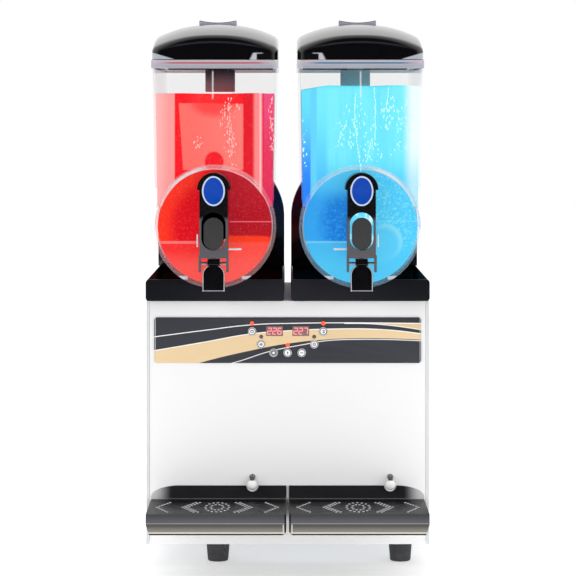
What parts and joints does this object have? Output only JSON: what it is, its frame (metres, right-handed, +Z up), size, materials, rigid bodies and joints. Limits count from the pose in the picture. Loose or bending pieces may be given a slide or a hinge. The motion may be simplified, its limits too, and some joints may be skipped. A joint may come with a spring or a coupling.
{
  "type": "slush machine",
  "caption": "Counter-top frozen drink machine with twin clear tanks over a steel cabinet, with push-lever taps, a control panel and drip trays.",
  "frame": {"origin": "on the surface the machine stands on, under the middle of the whole machine with its drip trays", "axes": "+Z up, the taps and the control panel face -Y, +X to the right seen from the front"},
  "size_m": [0.422, 0.5916, 0.816],
  "materials": {
    "stainless": "brushed",
    "zinc_steel": "satin",
    "drum_steel": "polished",
    "screw_steel": "bright",
    "black_rubber": "matt",
    "grey_rubber": "matt",
    "charcoal_overlay": "printed film",
    "display_window": "smoked window",
    "red_lens": "lens",
    "circuit_board": "solder mask",
    "white_plastic": "moulded",
    "button_white": "moulded",
    "black_enamel": "enamel",
    "grey_enamel": "enamel",
    "fin_aluminium": "bare",
    "black_plastic": "moulded",
    "base_black": "moulded, satin",
    "grid_black": "moulded, satin",
    "gloss_black": "moulded, high gloss",
    "clear_plastic": "clear, polished",
    "lamp_grey": "moulded",
    "badge_blue": "domed label",
    "tap_grey": "moulded"
  },
  "bodies": {
    "cabinet": {"chassis": "zinc_steel", "feet": "black_rubber", "front_panel": "stainless", "left_side_panel": "stainless", "right_side_panel": "stainless", "rear_panel": "stainless", "top_deck": "stainless", "control_panel": "charcoal_overlay", "displays": "display_window", "indicator_leds": "red_lens", "control_board": "circuit_board", "drain_spouts": "white_plastic", "compressor": "black_enamel", "condenser": "fin_aluminium", "fan_motor": "grey_enamel", "cable_gland": "black_plastic", "panel_screws": "screw_steel", "gear_motors": "grey_enamel", "bowl_seals": "grey_rubber", "bowl_base_left": "base_black", "bowl_base_right": "base_black", "rear_housing_left": "gloss_black", "rear_housing_right": "gloss_black", "evaporator_left": "drum_steel", "evaporator_right": "drum_steel"},
    "tank_left": {"tank_left": "clear_plastic", "tap_cover_left": "gloss_black", "tap_badge_left": "badge_blue", "tap_pin_left": "screw_steel", "tap_spring_left": "screw_steel"},
    "lid_left": {"lid_left": "gloss_black", "lid_lamp_left": "lamp_grey"},
    "tap_lever_left": {"tap_lever_left": "gloss_black"},
    "tap_piston_left": {"tap_piston_left": "tap_grey"},
    "auger_left": {"auger_left": "white_plastic", "drive_shaft_left": "screw_steel"},
    "drip_tray_left": {"drip_tray_left": "base_black"},
    "drip_grid_left": {"drip_grid_left": "grid_black"},
    "tank_right": {"tank_right": "clear_plastic", "tap_cover_right": "gloss_black", "tap_badge_right": "badge_blue", "tap_pin_right": "screw_steel", "tap_spring_right": "screw_steel"},
    "lid_right": {"lid_right": "gloss_black", "lid_lamp_right": "lamp_grey"},
    "tap_lever_right": {"tap_lever_right": "gloss_black"},
    "tap_piston_right": {"tap_piston_right": "tap_grey"},
    "auger_right": {"auger_right": "white_plastic", "drive_shaft_right": "screw_steel"},
    "drip_tray_right": {"drip_tray_right": "base_black"},
    "drip_grid_right": {"drip_grid_right": "grid_black"},
    "button_1": {"button_1": "button_white"},
    "button_2": {"button_2": "button_white"},
    "button_3": {"button_3": "button_white"},
    "button_4": {"button_4": "button_white"},
    "button_5": {"button_5": "button_white"},
    "button_6": {"button_6": "button_white"},
    "button_7": {"button_7": "button_white"},
    "power_switch": {"power_switch": "black_plastic"},
    "fan": {"fan": "black_plastic"}
  },
  "joints": [
    {"name": "tank_left_pull", "type": "slide", "parent": "cabinet", "child": "tank_left", "axis": [0, -1, 0], "range_m": [0, 0.4]},
    {"name": "lid_left_lift", "type": "slide", "parent": "tank_left", "child": "lid_left", "axis": [0, 0, 1], "range_m": [0, 0.12]},
    {"name": "tap_lever_left_push", "type": "hinge", "parent": "tank_left", "child": "tap_lever_left", "pos_m": [-0.108, -0.22, 0.452], "axis": [1, 0, 0], "range_deg": [0, 25], "stiffness_Nm_per_rad": 0.6, "springref_deg": -11.46},
    {"name": "tap_piston_left_rise", "type": "slide", "parent": "tank_left", "child": "tap_piston_left", "axis": [0, 0, 1], "range_m": [0, 0.0065], "deforming": ["tap_spring_left"]},
    {"name": "auger_left_turn", "type": "hinge", "parent": "cabinet", "child": "auger_left", "pos_m": [-0.108, 0, 0.503], "axis": [0, 1, 0], "continuous": true},
    {"name": "drip_tray_left_pull", "type": "slide", "parent": "cabinet", "child": "drip_tray_left", "axis": [0, -1, 0], "range_m": [0, 0.12]},
    {"name": "drip_grid_left_lift", "type": "slide", "parent": "drip_tray_left", "child": "drip_grid_left", "axis": [0, 0, 1], "range_m": [0, 0.06]},
    {"name": "tank_right_pull", "type": "slide", "parent": "cabinet", "child": "tank_right", "axis": [0, -1, 0], "range_m": [0, 0.4]},
    {"name": "lid_right_lift", "type": "slide", "parent": "tank_right", "child": "lid_right", "axis": [0, 0, 1], "range_m": [0, 0.12]},
    {"name": "tap_lever_right_push", "type": "hinge", "parent": "tank_right", "child": "tap_lever_right", "pos_m": [0.108, -0.22, 0.452], "axis": [1, 0, 0], "range_deg": [0, 25], "stiffness_Nm_per_rad": 0.6, "springref_deg": -11.46},
    {"name": "tap_piston_right_rise", "type": "slide", "parent": "tank_right", "child": "tap_piston_right", "axis": [0, 0, 1], "range_m": [0, 0.0065], "deforming": ["tap_spring_right"]},
    {"name": "auger_right_turn", "type": "hinge", "parent": "cabinet", "child": "auger_right", "pos_m": [0.108, 0, 0.503], "axis": [0, 1, 0], "continuous": true},
    {"name": "drip_tray_right_pull", "type": "slide", "parent": "cabinet", "child": "drip_tray_right", "axis": [0, -1, 0], "range_m": [0, 0.12]},
    {"name": "drip_grid_right_lift", "type": "slide", "parent": "drip_tray_right", "child": "drip_grid_right", "axis": [0, 0, 1], "range_m": [0, 0.06]},
    {"name": "button_1_press", "type": "slide", "parent": "cabinet", "child": "button_1", "axis": [0, 1, 0], "range_m": [0, 0.0008], "stiffness_N_per_m": 800, "springref_m": -0.0005},
    {"name": "button_2_press", "type": "slide", "parent": "cabinet", "child": "button_2", "axis": [0, 1, 0], "range_m": [0, 0.0008], "stiffness_N_per_m": 800, "springref_m": -0.0005},
    {"name": "button_3_press", "type": "slide", "parent": "cabinet", "child": "button_3", "axis": [0, 1, 0], "range_m": [0, 0.0008], "stiffness_N_per_m": 800, "springref_m": -0.0005},
    {"name": "button_4_press", "type": "slide", "parent": "cabinet", "child": "button_4", "axis": [0, 1, 0], "range_m": [0, 0.0008], "stiffness_N_per_m": 800, "springref_m": -0.0005},
    {"name": "button_5_press", "type": "slide", "parent": "cabinet", "child": "button_5", "axis": [0, 1, 0], "range_m": [0, 0.0008], "stiffness_N_per_m": 800, "springref_m": -0.0005},
    {"name": "button_6_press", "type": "slide", "parent": "cabinet", "child": "button_6", "axis": [0, 1, 0], "range_m": [0, 0.0008], "stiffness_N_per_m": 800, "springref_m": -0.0005},
    {"name": "button_7_press", "type": "slide", "parent": "cabinet", "child": "button_7", "axis": [0, 1, 0], "range_m": [0, 0.0008], "stiffness_N_per_m": 800, "springref_m": -0.0005},
    {"name": "power_switch_rock", "type": "hinge", "parent": "cabinet", "child": "power_switch", "pos_m": [-0.15, 0.2896, 0.1], "axis": [1, 0, 0], "range_deg": [-10, 10]},
    {"name": "fan_turn", "type": "hinge", "parent": "cabinet", "child": "fan", "pos_m": [0.105, 0, 0.155], "axis": [0, 1, 0], "continuous": true}
  ],
  "couplings": [
    {"joint": "tap_piston_left_rise", "follows": "tap_lever_left_push", "m_per_rad": 0.014},
    {"joint": "tap_piston_right_rise", "follows": "tap_lever_right_push", "m_per_rad": 0.014}
  ]
}
